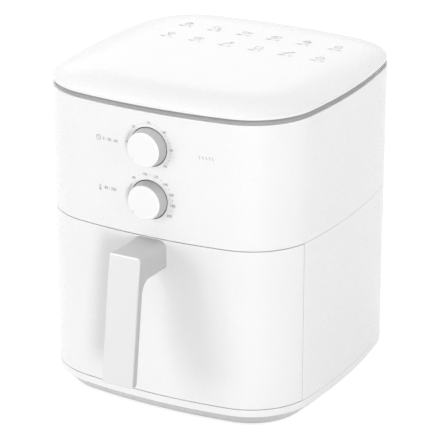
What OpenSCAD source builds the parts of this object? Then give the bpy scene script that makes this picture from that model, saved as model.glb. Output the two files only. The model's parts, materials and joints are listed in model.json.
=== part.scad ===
// Air fryer with a pull-out drawer, in millimetres.
// X runs to the right, Y to the back and Z up. The origin lies on the surface that the
// feet stand on, under the middle of the outline from the handle to the rear vent.

/* [Body] */
// Width and depth of the body
body_w = 275; // [270:1:290]
// Radius of the body's upright corners
corner_r = 65; // [60:1:70]
// How far the middle of each side bulges
side_bow = 9.8; // [8:0.2:12]
// Wall of the outer shells
wall = 2.6; // [2.2:0.1:3]
// Gap that shows around the drawer front
seam_gap = 0.8; // [0.6:0.1:1]
// Gap that shows between two fixed shells
shell_gap = 0.3; // [0.2:0.1:0.5]
// Height of the rubber feet under the body
foot_h = 4; // [3:0.5:6]
// Height of the underside that tapers in
taper_h = 12.8; // [12:0.5:18]
// How far the underside tapers in
taper_inset = 12; // [8:0.5:16]
// Height of the plain band below the drawer
band_h = 7.2; // [5:0.5:8]
// Height of the drawer front
drawer_h = 157; // [154:1:170]
// Height of the housing above the drawer
upper_h = 119; // [115:1:130]
// Height of the groove below the lid
groove_h = 4.8; // [4:0.2:6]
// Depth from the front to the upright seam behind the drawer front
drawer_wrap = 52.5; // [48:0.5:56]

/* [Lid] */
// Height of the lid's upright rim
lid_rim_h = 2.2; // [1.6:0.2:3]
// How far the lid rises above its rim
lid_crown_h = 9; // [6:0.5:12]
// Width of the lid's soft shoulder
lid_shoulder = 50; // [40:1:54]
// How far the lid's rim stands back from the housing
lid_inset = 0.8; // [0.5:0.1:1]

/* [Handle] */
// How far the grip reaches in front of the body
handle_reach = 62; // [56:1:70]
// Lean of the grip from upright, in degrees
handle_lean = 8; // [4:0.5:10]
// Width of the grip
grip_w = 31.5; // [26:0.5:34]
// Thickness of the grip
grip_t = 14.5; // [13:0.5:17]
// Height of the grip's lower end above the drawer's lower edge
grip_drop = 34; // [28:1:50]
// Width of the neck where it meets the drawer
neck_w = 33.5; // [32:0.5:40]
// Height of the neck
neck_h = 28.5; // [26:0.5:36]
// Radius of the bend between the grip and the neck
bend_r = 12; // [9:1:24]

/* [Knobs] */
// Radius of a knob at its base
knob_r = 18.1; // [16:0.1:19]
// Radius of a knob at its front face
knob_front_r = 16.3; // [14:0.1:17]
// How far a knob stands out of the panel
knob_depth = 10.8; // [9:0.1:13]
// Height of the timer knob above the drawer seam
timer_up = 86.6; // [80:0.2:88]
// Distance from the timer knob down to the thermostat knob
knob_pitch = 50.2; // [46:0.2:54]
// Turn of the knobs' marks at rest, in degrees from the right, anticlockwise
knob_rest = 222; // [210:1:230]
// Radius of the knob shafts
knob_shaft_r = 3; // [2.5:0.1:3.5]

/* [Drawer] */
// From the body's outside to the pan, at each side
pan_side = 33.5; // [32:0.5:40]
// From the body's outside to the pan, at the rear
pan_rear = 29.8; // [28:0.2:36]
// Depth of the pan
pan_h = 106; // [96:1:108]
// Radius of the pan's upright corners
pan_r = 28; // [22:1:34]
// Radius between the pan's walls and its floor
pan_floor_r = 10; // [6:1:14]
// Width of the rim around the pan
rim_w = 5; // [4:0.5:6]
// Thickness of the sheet metal
sheet = 1.2; // [1:0.1:1.5]
// Space between the crisper plate and the pan's floor
tray_up = 14; // [12:1:18]
// Thickness of the crisper plate
tray_t = 2; // [1.5:0.1:2.5]
// Distance between the plate's holes
hole_pitch = 15; // [14:0.5:18]
// Radius of the plate's holes
hole_r = 3.4; // [2.5:0.1:4]

/* [Heating] */
// From the mouth of the fan dome to the pan's front and rear
dome_margin = 9; // [8:0.5:14]
// Depth of the fan dome above the chamber's roof
dome_h = 20; // [18:0.5:24]
// From the heater's outer turn to the dome's mouth
heater_margin = 11; // [10:0.5:13]
// From the hot air fan's blades to the heater
fan_gap = 3.8; // [3:0.1:8]
// Height of the hot air fan's blades
blade_h = 11; // [8:0.5:12]
// Number of the hot air fan's blades
blade_n = 10; // [8:1:12]
// Radius of the heater's tube
heater_r = 3.2; // [2.8:0.1:3.4]
// Distance between the heater's two turns
heater_pitch = 14; // [12:0.5:14]
// How much smaller the cooling fan is than the hot air fan
cool_less = 12; // [10:1:18]
// Radius of the motor shaft
motor_shaft_r = 2.5; // [2:0.1:3]

/* [Rear] */
// Width of the rear vent
vent_w = 120; // [100:2:130]
// Height of the rear vent
vent_h = 66; // [56:1:72]
// How far the rear vent stands out
vent_out = 12; // [8:0.5:16]
// Number of slats in the rear vent
slat_n = 8; // [6:1:10]
// Radius of the hole that the cord passes through
cord_r = 3.7; // [3:0.1:4]

/* [Clearances] */
// Between pieces that slide past each other
slide_gap = 0.5; // [0.3:0.1:0.6]
// Between pieces that are assembled together
fit_gap = 0.2; // [0.1:0.05:0.3]
// Between a shaft and the bush it turns in
run_gap = 0.05; // [0.02:0.01:0.08]

/* [Hidden] */

white = [0.95, 0.95, 0.95];
grey = [0.62, 0.63, 0.64];
dark = [0.16, 0.16, 0.17];
steel = [0.75, 0.76, 0.77];
copper = [0.72, 0.45, 0.26];
brass = [0.79, 0.66, 0.35];

// Outline: a square with round corners and gently bowed sides. Each side is an arc of
// side_r that meets the corner arcs without a kink, side_turn degrees from its middle.
half = body_w/2;
arc_c = half - corner_r - side_bow/2;
side_r = (arc_c*arc_c + pow(half - arc_c, 2) - corner_r*corner_r)/(2*(half - arc_c - corner_r));
side_turn = atan2(arc_c, side_r - half + arc_c);
side_steps = 8;
corner_steps = 14;

// Heights
z_base = foot_h;
z_band = z_base + taper_h;
z_drawer = z_band + band_h;
z_seam = z_drawer + drawer_h;
z_groove = z_seam + upper_h;
z_lid = z_groove + groove_h;
z_lid_rim = z_lid + lid_rim_h;
half_gap = seam_gap/2;
z_shell = z_drawer - half_gap + shell_gap;
z_shell_top = z_seam + half_gap - shell_gap;

// Depths, from the body's axis
y_front = -half;
y_split = y_front + drawer_wrap;
bulkhead_t = 2.4;
y_bulkhead = y_split + half_gap;
y_bulkhead_back = y_bulkhead + bulkhead_t;
y_panel_back = y_bulkhead - sheet - slide_gap;
panel_t = 2;
y_panel = y_panel_back - panel_t;
y_pan_back = half - pan_rear;
pan_len = y_pan_back - y_panel_back;
pan_w = body_w - 2*pan_side;
fan_y = (y_panel_back + y_pan_back)/2;

// Radii of the dome, heater and fans
dome_r = pan_len/2 - dome_margin;
heater_out_r = dome_r - heater_margin;
fan_r = heater_out_r - heater_pitch - heater_r - fan_gap;
cool_r = fan_r - cool_less;

// Chamber around the pan
chamber_side_gap = 8.5;
chamber_rear_gap = 9;
chamber_w = pan_w + 2*chamber_side_gap;
chamber_flange = 4;
chamber_r = 26;
y_chamber_back = y_pan_back + chamber_rear_gap;
z_chamber = z_drawer + half_gap + wall + slide_gap + chamber_flange;
z_pan = z_chamber + sheet + 3;
z_rim = z_pan + pan_h;
z_tray = z_pan + sheet + tray_up;
z_roof = z_seam - half_gap - wall - slide_gap - chamber_flange - sheet;
z_roof_top = z_roof + sheet;
z_guard = z_roof - 16;
z_heater = z_roof - 7;
z_dome = z_roof_top + dome_h;
cover_h = dome_h + 7;
z_cover = z_roof_top + cover_h;
shaft_hole_r = 7;

// Handle: section planes turn about the bend's centre, (bend_y, bend_z)
z_neck = z_seam - half_gap - 1;
z_under = z_neck - neck_h;
z_grip_end = z_drawer + grip_drop;
end_round = 1.6;
grip_y = y_front - handle_reach;
grip_z = z_grip_end + end_round*cos(handle_lean);
bend_z = z_under - bend_r;
bend_y = grip_y + (bend_r + grip_t - (grip_z - bend_z)*sin(handle_lean))/cos(handle_lean);
grip_front_r = 1.2;
grip_back_r = 8;
neck_round = 7.5;
neck_seat = 1.2;
y_neck = y_front + neck_seat;
corner_soft = 0.6;
cover_extra = 1;

// Panel with the knobs
z_timer = z_seam + timer_up;
z_thermostat = z_timer - knob_pitch;
recess_gap = 0.8;
recess_t = 1.3;
y_bracket = y_front + wall + 6;
bracket_t = 2;
y_unit = y_bracket + bracket_t;
bush_r = 5;

// Motor
z_cool = z_cover + 8;
cool_h = 10;
z_motor_plate = z_cool + cool_h + 6;
stack_w = 62;
stack_l = 46;
stack_h = 16;
z_stack = z_motor_plate + 6;
rotor_r = 14;
air_gap = 0.5;

// Bounds along Y, and the shift that centres them on the origin
y_min = grip_y;
y_max = half + vent_out;
shift_y = -(y_min + y_max)/2;

// ---------------------------------------------------------------- shared shapes

function turned(p, a) = [p.x*cos(a) - p.y*sin(a), p.x*sin(a) + p.y*cos(a)];
function blend(a, b, t) = a + (b - a)*t;
function soft_min(a, b, k) = -k*ln(exp(-a/k) + exp(-b/k));
function arc(x, y, r, a0, a1, n) =
  [for (i = [0:n]) let (a = blend(a0, a1, i/n)) [x + r*cos(a), y + r*sin(a)]];
function lifted(points, z) = [for (p = points) [p.x, p.y, z]];

// Points along the body's outline, set in by inset
function quarter(inset) = concat(
  [for (i = [0:side_steps - 1]) let (t = side_turn*(2*i/side_steps - 1))
    [(side_r - inset)*sin(t), side_r - half - (side_r - inset)*cos(t)]],
  [for (i = [0:corner_steps - 1]) let (t = side_turn - 90 + (90 - 2*side_turn)*i/corner_steps)
    [arc_c + (corner_r - inset)*cos(t), -arc_c + (corner_r - inset)*sin(t)]]);
function outline(inset) = [for (k = [0:3]) for (p = quarter(inset)) turned(p, 90*k)];

// Points along a rectangle with round corners
function round_rect(w, l, r, n) = concat(
  arc(w/2 - r, -l/2 + r, r, -90, 0, n), arc(w/2 - r, l/2 - r, r, 0, 90, n),
  arc(-w/2 + r, l/2 - r, r, 90, 180, n), arc(-w/2 + r, -l/2 + r, r, 180, 270, n));

// A closed skin over rings of points, from the first ring's cap to the last ring's cap
module loft(rings) {
  n = len(rings[0]);
  last = len(rings) - 1;
  polyhedron(
    points = [for (ring = rings) each ring],
    faces = concat(
      [[for (i = [0:n - 1]) i]],
      [for (j = [0:last - 1]) for (i = [0:n - 1])
        [j*n + i, (j + 1)*n + i, (j + 1)*n + (i + 1)%n, j*n + (i + 1)%n]],
      [[for (i = [n - 1:-1:0]) last*n + i]]),
    convexity = 8);
}

// The body's outline with true arcs
module squircle(inset) {
  big = side_r - inset;
  p = big*sin(side_turn);
  q = big*cos(side_turn) - side_r + half;
  for (k = [0:3]) rotate(90*k) {
    translate([arc_c, -arc_c]) circle(r = corner_r - inset, $fn = 64);
    intersection() {
      translate([0, side_r - half]) circle(r = big, $fn = 256);
      polygon([[0, 0], [-p, -q], [-p, -half], [p, -half], [p, -q]]);
    }
  }
  polygon([[p, -q], [q, -p], [q, p], [p, q], [-p, q], [-q, p], [-q, -p], [-p, -q]]);
}

module slab(z0, z1, inset) {
  translate([0, 0, z0]) linear_extrude(z1 - z0) squircle(inset);
}

module hoop(z0, z1, inset, t) {
  translate([0, 0, z0]) linear_extrude(z1 - z0) difference() {
    squircle(inset);
    squircle(inset + t);
  }
}

// A box from one corner to the other
module block(lo, hi) {
  translate(lo) cube(hi - lo);
}

// Everything in front of, or behind, a plane
module before(y) {
  block([-body_w, -body_w, -1], [body_w, y, z_lid + body_w]);
}

module behind(y) {
  block([-body_w, y, -1], [body_w, body_w, z_lid + body_w]);
}

// A cylinder along +Y
module rod_y(r, y0, y1, n = 48) {
  translate([0, y0, 0]) rotate([-90, 0, 0]) cylinder(r = r, h = y1 - y0, $fn = n);
}

module rounded(w, l, r) {
  for (x = [-1, 1], y = [-1, 1]) translate([x*(w/2 - r), y*(l/2 - r)]) circle(r = r, $fn = 48);
  square([w - 2*r, l], center = true);
  square([w, l - 2*r], center = true);
}

// A rectangle with round corners in the XZ plane, from y0 to y1
module plate_y(w, h, r, y0, y1) {
  translate([0, y1, 0]) rotate([90, 0, 0]) linear_extrude(y1 - y0) rounded(w, h, r);
}

module tube_ring(ring_r, r, from = 0, sweep = 360) {
  rotate(from) rotate_extrude(angle = sweep, $fn = 128) translate([ring_r, 0]) circle(r = r, $fn = 32);
}

// A pan head screw, its head's seat at z = 0 and its shank downwards
module screw(r, length) {
  translate([0, 0, -length]) cylinder(r = r, h = length, $fn = 24);
  difference() {
    rotate_extrude($fn = 48) polygon([[0, 0], [2*r, 0], [2*r, 0.6*r], [1.5*r, 1.2*r], [0, 1.2*r]]);
    for (a = [0, 90]) rotate(a) translate([0, 0, 1.2*r]) cube([2.2*r, 0.4*r, 0.8*r], center = true);
  }
}

// ---------------------------------------------------------------- outer shells

// Height of the lid above its rim, at a distance in from its edge
crown_steps = 12;
function crown(d) = lid_crown_h*(1 - pow(1 - d/lid_shoulder, 2.4));

module top_cover() {
  steps = [for (i = [0:crown_steps]) lid_shoulder*pow(i/crown_steps, 1.5)];
  outer = [for (d = steps) lifted(outline(lid_inset + d), z_lid_rim + crown(d))];
  inner = [for (i = [crown_steps:-2:0]) let (d = wall + steps[i])
    lifted(outline(lid_inset + d), z_lid_rim - wall + crown(min(d, lid_shoulder)))];
  color(white) loft(concat(inner, [lifted(outline(lid_inset + wall), z_lid),
    lifted(outline(lid_inset), z_lid)], outer));
}

// The ring stands on a ledge in the upper housing and centres the lid
ring_t = 2.5;
ring_down = 9;
ring_lip = 0.4;
ledge_t = 2;
module top_trim_ring() {
  color(grey) {
    hoop(z_groove - ring_down, z_lid, wall + fit_gap, ring_t);
    hoop(z_groove, z_lid + ring_lip, wall + lid_inset + fit_gap, ring_t - lid_inset);
  }
}

lip_t = 1.6;
lip_h = 6;
lip_down = 4.5;
boss_r = 4;
bracket_w = 58;
bracket_h = 98;
bracket_z = (z_timer + z_thermostat)/2;
vent_z = z_seam + 52;
screw_r = 1.5;

module upper_housing() {
  color(white) difference() {
    union() {
      hoop(z_seam + half_gap, z_groove, 0, wall);
      intersection() {
        slab(z_seam + half_gap, z_seam + half_gap + wall, wall/2);
        before(y_bulkhead_back);
      }
      hoop(z_groove - ring_down - ledge_t, z_groove - ring_down, wall/2, wall/2 + fit_gap + ring_t);
      for (x = [-1, 1], z = [-1, 1])
        translate([x*(bracket_w/2 - 6), 0, bracket_z + z*(bracket_h/2 - 6)])
          rod_y(boss_r, y_front + wall/2, y_bracket);
    }
    for (z = [z_timer, z_thermostat]) translate([0, 0, z]) {
      rod_y(knob_r + recess_gap, y_front - 1, y_front + recess_t, 96);
      rod_y(bush_r + fit_gap, y_front, y_bracket);
    }
    translate([0, 0, vent_z])
      plate_y(vent_w + 2*fit_gap, vent_h + 2*fit_gap, 8 + fit_gap, 0.8*half, half + 1);
  }
}

ear_t = 3;
ear_margin = 10;
base_screw_x = 96;
base_screw_back_y = 96;
base_screw_front_y = y_bulkhead_back + 12;
base_screw_y = [base_screw_front_y, base_screw_back_y];

// Four corner tabs for the base screws
module ears(z0, z1) {
  x0 = base_screw_x - ear_margin;
  for (x = [0, 1]) mirror([x, 0, 0]) {
    block([x0, y_bulkhead_back + fit_gap, z0], [half, base_screw_front_y + ear_margin, z1]);
    block([x0, base_screw_back_y - ear_margin, z0], [half, half, z1]);
  }
}

gland_z = z_drawer + 30;
gland_r = 7;
switch_half_w = 3.2;
switch_h = 10;
switch_l = 20;
switch_x = chamber_w/2 + sheet + chamber_flange + slide_gap + switch_half_w;
switch_z = z_seam - 35;
plunger_r = 1.6;
plunger_in = 6;
plunger_travel = 2;

// The wrap-around shell: lips that centre it on its neighbours, and two ribs that the
// bulkhead stands against
rib_w = 4;
rib_t = 2;
module lower_housing() {
  z0 = z_shell;
  z1 = z_shell_top;
  color(white) difference() {
    union() {
      intersection() {
        hoop(z0, z1, 0, wall);
        behind(y_bulkhead);
      }
      intersection() {
        hoop(z0, z1, wall/2, rib_w);
        block([-half, y_bulkhead_back, z0], [half, y_bulkhead_back + rib_t, z1]);
      }
      intersection() {
        union() {
          hoop(z0 - lip_down, z0 + lip_h, wall + fit_gap, lip_t);
          hoop(z0, z0 + lip_h, wall/2, wall/2 + fit_gap + lip_t);
          hoop(z1 - lip_h, z1, wall/2, wall/2 + fit_gap + lip_t);
          hoop(z1 - lip_h, z1 + lip_h, wall + fit_gap, lip_t);
        }
        behind(y_bulkhead_back);
      }
      intersection() {
        slab(z0, z0 + ear_t, wall/2);
        ears(z0, z0 + ear_t);
      }
    }
    translate([0, 0, gland_z]) rod_y(gland_r, half - 2*wall, half + 1);
    for (x = [-1, 1], y = base_screw_y)
      translate([x*base_screw_x, y, z0 - 1]) cylinder(r = screw_r + 0.1, h = 6, $fn = 24);
  }
}

// The plate behind the drawer front, with the mouth that holds the chamber
module front_bulkhead() {
  color(white) difference() {
    intersection() {
      slab(z_shell, z_shell_top, wall + fit_gap);
      block([-half, y_bulkhead, z_shell], [half, y_bulkhead_back, z_shell_top]);
    }
    translate([0, 0, (z_chamber + z_roof_top)/2])
      plate_y(chamber_w + 2*sheet + 2*fit_gap, z_roof_top - z_chamber + 2*fit_gap, fit_gap,
        y_split - 1, y_bulkhead_back + 1);
    translate([switch_x, 0, switch_z]) rod_y(plunger_r + slide_gap, y_split - 1, y_bulkhead_back + 1);
  }
}

foot_x = 84;
foot_r = 10;
slot_n = 9;
slot_pitch = 9;
slot_l = 46;
module base() {
  z1 = z_drawer - half_gap;
  floor_t = wall;
  color(white) difference() {
    union() {
      loft([
        lifted(outline(taper_inset + 1), z_base), lifted(outline(taper_inset), z_base + 1),
        lifted(outline(0.6), z_band - 0.6), lifted(outline(0), z_band), lifted(outline(0), z1),
        lifted(outline(wall), z1), lifted(outline(wall), z_band),
        lifted(outline(taper_inset + wall), z_base + floor_t)]);
      intersection() {
        slab(z1 - wall, z1, wall/2);
        before(y_bulkhead_back);
      }
      for (x = [-1, 1], y = base_screw_y)
        translate([x*base_screw_x, y, z_base + 1])
          cylinder(r = 3*screw_r + wall, h = z1 - z_base - 1, $fn = 48);
    }
    for (x = [-1, 1], y = base_screw_y) translate([x*base_screw_x, y, z_base]) {
      translate([0, 0, -1]) cylinder(r = screw_r + 0.1, h = taper_h + band_h + 2, $fn = 24);
      translate([0, 0, -1]) cylinder(r = 2*screw_r + fit_gap, h = 5, $fn = 48);
    }
    for (x = [-1, 1], y = [-1, 1]) translate([x*foot_x, y*foot_x, z_base - 1])
      cylinder(r = foot_r - 1, h = 2, $fn = 48);
    for (x = [-1, 1], i = [0:slot_n - 1])
      translate([x*slot_l*0.62, (i - (slot_n - 1)/2)*slot_pitch, z_base - 1]) linear_extrude(2*wall)
        rounded(slot_l, 3, 1.49);
  }
}

module rubber_feet() {
  color(dark) for (x = [-1, 1], y = [-1, 1]) translate([x*foot_x, y*foot_x, 0]) rotate_extrude($fn = 48)
    polygon([[0, 0.6], [foot_r - 4, 0.6], [foot_r - 3, 0], [foot_r - 1, 0], [foot_r, 1], [foot_r, foot_h],
      [foot_r - 1 - fit_gap, foot_h], [foot_r - 1 - fit_gap, foot_h + 1], [0, foot_h + 1]]);
}

module housing_screws() {
  color(steel) for (x = [-1, 1], y = base_screw_y)
    translate([x*base_screw_x, y, z_base + 4]) mirror([0, 0, 1])
      screw(screw_r, z_shell + ear_t - z_base - 4);
}

// ---------------------------------------------------------------- controls

module control_bracket() {
  color(steel) difference() {
    union() {
      translate([0, 0, bracket_z]) plate_y(bracket_w, bracket_h, 4, y_bracket, y_unit);
      for (x = [-1, 1]) translate([x*(bracket_w/2 - bracket_t/2), y_unit + 4, bracket_z])
        cube([bracket_t, 8, bracket_h - 24], center = true);
    }
    for (z = [z_timer, z_thermostat]) translate([0, 0, z]) rod_y(bush_r + fit_gap, y_bracket - 1, y_unit + 1);
  }
}

timer_size = 44;
timer_depth = 26;
// A clockwork timer: case, front bush and four case posts
module timer_unit() {
  color(grey) translate([0, 0, z_timer]) difference() {
    union() {
      plate_y(timer_size, timer_size, 6, y_unit, y_unit + 3);
      plate_y(timer_size - 4, timer_size - 4, 5, y_unit + 3, y_unit + timer_depth - 3);
      plate_y(timer_size, timer_size, 6, y_unit + timer_depth - 3, y_unit + timer_depth);
      rod_y(bush_r, y_front + wall + 1, y_unit);
    }
    rod_y(knob_shaft_r + run_gap, y_front, y_unit + 12);
  }
}

bell_r = 17;
module timer_bell() {
  y = y_unit + timer_depth;
  color(steel) translate([0, y, z_timer]) rotate([-90, 0, 0]) {
    cylinder(r = 2.5, h = 4, $fn = 32);
    rotate_extrude($fn = 64) polygon([[0, 8], [bell_r*0.55, 7.4], [bell_r*0.85, 5.6], [bell_r, 2.5],
      [bell_r - 1, 2.5], [bell_r*0.8, 5], [bell_r*0.52, 6.4], [2.5, 7], [2.5, 4], [0, 4]]);
  }
}

thermo_size = 34;
thermo_depth = 20;
// A capillary thermostat: case, front bush and two blade terminals
module thermostat_unit() {
  y1 = y_unit + thermo_depth;
  color(white) translate([0, 0, z_thermostat]) difference() {
    union() {
      plate_y(thermo_size, thermo_size, 3, y_unit, y1 - 6);
      rod_y(thermo_size/2 - 3, y1 - 6, y1);
      rod_y(bush_r, y_front + wall + 1, y_unit);
      for (x = [-1, 1]) translate([x*7, y1 + 3, 8]) cube([0.8, 8, 6.3], center = true);
    }
    rod_y(knob_shaft_r + run_gap, y_front, y_unit + 12);
  }
}

bulb_r = 3;
bulb_l = 44;
bulb_y = -(dome_r - 22);
cap_r = 1;
cap_rise = 8;
// The sensing bulb under the dome, and the capillary up to the thermostat
module thermostat_bulb() {
  z_bulb = z_dome - sheet - bulb_r;
  y_thermo = y_unit + thermo_depth;
  color(copper) translate([0, fan_y + bulb_y, 0]) {
    translate([-bulb_l/2, 0, z_bulb]) rotate([0, 90, 0]) cylinder(r = bulb_r, h = bulb_l, $fn = 32);
    for (x = [-1, 1]) translate([x*bulb_l/2, 0, z_bulb]) sphere(r = bulb_r, $fn = 32);
    translate([0, 0, z_bulb]) cylinder(r = cap_r, h = z_cover + cap_rise - z_bulb, $fn = 24);
    translate([0, 0, z_cover + cap_rise]) sphere(r = cap_r, $fn = 24);
    translate([0, y_thermo - fan_y - bulb_y, z_cover + cap_rise])
      rod_y(cap_r, 0, fan_y + bulb_y - y_thermo, 24);
  }
}

// A moulded knob that turns about Y, its mark at knob_rest degrees
module knob(z) {
  back = -(recess_t - slide_gap);
  edge = 1.2;
  skin = 2;
  shaft_l = knob_depth - 3;
  color(white) translate([0, y_front, z]) rotate([90, 0, 0]) difference() {
    union() {
      rotate_extrude($fn = 128) {
        difference() {
          union() {
            polygon([[0, back], [knob_r, back], [knob_r, 0], [knob_front_r + 0.1, knob_depth - edge],
              [knob_front_r - edge, knob_depth - edge], [knob_front_r - edge, knob_depth], [0, knob_depth]]);
            translate([knob_front_r - edge + 0.05, knob_depth - edge]) circle(r = edge, $fn = 48);
          }
          polygon([[-1, back - 1], [knob_r - skin, back - 1], [knob_r - skin, 0],
            [knob_front_r - skin, knob_depth - skin], [-1, knob_depth - skin]]);
          translate([-2*edge, 0]) square([2*edge, knob_depth]);
        }
      }
      translate([0, 0, back]) cylinder(r = 2*knob_shaft_r, h = knob_depth - back - skin/2, $fn = 48);
    }
    translate([0, 0, back - 1]) cylinder(r = knob_shaft_r + run_gap, h = shaft_l + 1 - back, $fn = 48);
    rotate(knob_rest) translate([knob_front_r - 3.4, 0, knob_depth]) linear_extrude(1.6, center = true)
      polygon([[-2.2, 0], [2, -1.5], [2, 1.5]]);
  }
}

module knob_shaft(z) {
  color(brass) translate([0, 0, z]) rod_y(knob_shaft_r, y_front - knob_depth + 3, y_unit + 12 - slide_gap);
}

module timer_knob() {
  knob(z_timer);
}

module timer_shaft() {
  knob_shaft(z_timer);
}

module thermostat_knob() {
  knob(z_thermostat);
}

module thermostat_shaft() {
  knob_shaft(z_thermostat);
}

// ---------------------------------------------------------------- cooking chamber

// The cooking chamber's plan, w wide, with round corners at the back
module chamber_plan(w, y0, y1, r) {
  translate([-w/2, y0]) square([w, y1 - y0 - r]);
  translate([-w/2 + r, y0]) square([w - 2*r, y1 - y0]);
  for (x = [-1, 1]) translate([x*(w/2 - r), y1 - r]) circle(r = r, $fn = 64);
}

module chamber() {
  flange_h = z_roof_top - z_chamber + 2*chamber_flange - fit_gap;
  color(steel) difference() {
    union() {
      translate([0, 0, z_chamber]) linear_extrude(z_roof_top - z_chamber)
        chamber_plan(chamber_w + 2*sheet, y_bulkhead - sheet, y_chamber_back + sheet, chamber_r + sheet);
      translate([0, 0, (z_chamber + z_roof_top)/2])
        plate_y(chamber_w + 2*sheet + 2*chamber_flange, flange_h, 8, y_bulkhead - sheet, y_bulkhead);
    }
    translate([0, 0, z_chamber + sheet]) linear_extrude(z_roof - z_chamber - sheet)
      chamber_plan(chamber_w, y_bulkhead - sheet - 1, y_chamber_back, chamber_r);
    translate([0, fan_y, z_roof - 1]) cylinder(r = dome_r, h = sheet + 2, $fn = 128);
  }
}

// Two bars on the chamber's floor that the pan slides on
rail_w = 8;
module drawer_rails() {
  z0 = z_chamber + sheet;
  y0 = y_bulkhead + rail_w;
  y1 = y_pan_back - pan_r;
  color(steel) for (x = [-1, 1]) translate([x*(pan_w/2 - pan_r), 0, z0])
    linear_extrude(z_pan - slide_gap - z0) hull() {
      translate([0, y0]) circle(r = rail_w/2, $fn = 32);
      translate([0, y1]) circle(r = rail_w/2, $fn = 32);
    }
}

// The insulation cover's walls stand on the roof, around the reflector's flange
cover_front = y_bulkhead_back + slide_gap;
dome_in = 8;
module reflector() {
  flange_r = fan_y - cover_front - sheet - fit_gap;
  color(steel) translate([0, fan_y, z_roof_top]) difference() {
    rotate_extrude($fn = 128) polygon([[shaft_hole_r, dome_h], [dome_r - dome_in, dome_h], [dome_r, sheet],
      [flange_r, sheet], [flange_r, 0], [dome_r - sheet, 0], [dome_r - dome_in - sheet/2, dome_h - sheet],
      [shaft_hole_r, dome_h - sheet]]);
    riser_holes();
    translate([0, bulb_y, 0]) cylinder(r = cap_r + fit_gap, h = dome_h + 1, $fn = 24);
  }
}

cover_r = 24;
cover_w = chamber_w - 16;
module insulation_cover() {
  w = cover_w;
  l = y_chamber_back - cover_front;
  y = (y_chamber_back + cover_front)/2;
  color(grey) difference() {
    translate([0, y, z_roof_top]) difference() {
      linear_extrude(cover_h) rounded(w, l, cover_r);
      translate([0, 0, -sheet]) linear_extrude(cover_h) rounded(w - 2*sheet, l - 2*sheet, cover_r - sheet);
    }
    translate([0, fan_y, z_roof_top]) {
      cylinder(r = shaft_hole_r, h = 2*cover_h, $fn = 64);
      riser_holes();
      translate([0, bulb_y, 0]) cylinder(r = cap_r + fit_gap, h = 2*cover_h, $fn = 24);
    }
  }
}

// The heater's two turns end beside each other at angles riser_a and riser_b
riser_a = 14;
riser_b = -4;
bend_a = -20;
module riser_holes() {
  for (a = [riser_a, riser_b]) rotate(a) translate([heater_out_r, 0, 0])
    cylinder(r = heater_r + fit_gap, h = 2*cover_h, $fn = 48);
}

// A sheathed element: an outer and an inner turn, joined by a hairpin bend
module heater_element() {
  inner_r = heater_out_r - heater_pitch;
  rise = z_cover + 12 - z_heater;
  color(steel) translate([0, fan_y, z_heater]) {
    tube_ring(heater_out_r, heater_r, riser_a, 360 + bend_a - riser_a);
    tube_ring(inner_r, heater_r, riser_b, 360 + bend_a - riser_b);
    rotate(bend_a) translate([heater_out_r - heater_pitch/2, 0, 0])
      tube_ring(heater_pitch/2, heater_r, 0, 180);
    rotate(riser_b) translate([inner_r, 0, 0]) rotate([0, 90, 0])
      cylinder(r = heater_r, h = heater_pitch, $fn = 32);
    rotate(riser_b) translate([inner_r, 0, 0]) sphere(r = heater_r, $fn = 32);
    for (r = [inner_r, heater_out_r]) rotate(bend_a) translate([r, 0, 0])
      sphere(r = heater_r + 0.2, $fn = 48);
    for (a = [riser_a, riser_b]) rotate(a) translate([heater_out_r, 0, 0]) {
      sphere(r = heater_r, $fn = 32);
      cylinder(r = heater_r, h = rise, $fn = 32);
      translate([0, 0, z_cover - z_heater]) cylinder(r = heater_r + 2.5, h = 2, $fn = 48);
      translate([0, 0, rise]) cylinder(r = 0.6*heater_r, h = 8, $fn = 24);
    }
  }
}

guard_wire = 1.2;
guard_tab_w = 10;
guard_tab_l = 16;
guard_over = 2;
guard_rings = 4;
guard_spokes = 8;
// Concentric wires on spokes, hung from the roof by four tabs
module heater_guard() {
  top = z_roof - z_guard;
  ring_r = dome_r - 6;
  inner_r = ring_r/guard_rings;
  color(steel) translate([0, fan_y, z_guard]) {
    for (i = [1:guard_rings]) tube_ring(inner_r*i, guard_wire);
    for (i = [0:guard_spokes - 1]) rotate(360*(i + 0.3)/guard_spokes)
      translate([inner_r - guard_over, 0, -1.4*guard_wire]) rotate([0, 90, 0])
        cylinder(r = 0.9*guard_wire, h = ring_r - inner_r + 2*guard_over, $fn = 24);
    for (a = [45, 135, 225, 315]) rotate(a) {
      translate([ring_r, 0, -2*guard_wire]) cylinder(r = 1.5*guard_wire, h = top + guard_wire, $fn = 24);
      translate([ring_r - 3, -guard_tab_w/2, top - sheet]) cube([guard_tab_l, guard_tab_w, sheet]);
    }
  }
}

// ---------------------------------------------------------------- motor and fans

bridge_x = cool_r + 9;
bridge_l = 30;
post_r = 3.5;
post_x = stack_w/2 - 6;
module motor_bracket() {
  t = 1.5;
  color(steel) translate([0, fan_y, 0]) difference() {
    union() {
      block([-bridge_x, -bridge_l/2, z_motor_plate], [bridge_x, bridge_l/2, z_motor_plate + t]);
      for (x = [-1, 1]) {
        translate([x*(bridge_x - t/2), 0, (z_cover + z_motor_plate)/2 + t/2])
          cube([t, bridge_l, z_motor_plate - z_cover + t], center = true);
        translate([x*(bridge_x + 5), 0, z_cover + t/2]) cube([12, bridge_l, t], center = true);
      }
      for (x = [-1, 1]) translate([x*post_x, 0, z_motor_plate + t])
        cylinder(r = post_r, h = z_stack - z_motor_plate - t, $fn = 32);
    }
    translate([0, 0, z_motor_plate - 1]) cylinder(r = 9, h = 2*t, $fn = 48);
  }
}

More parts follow.
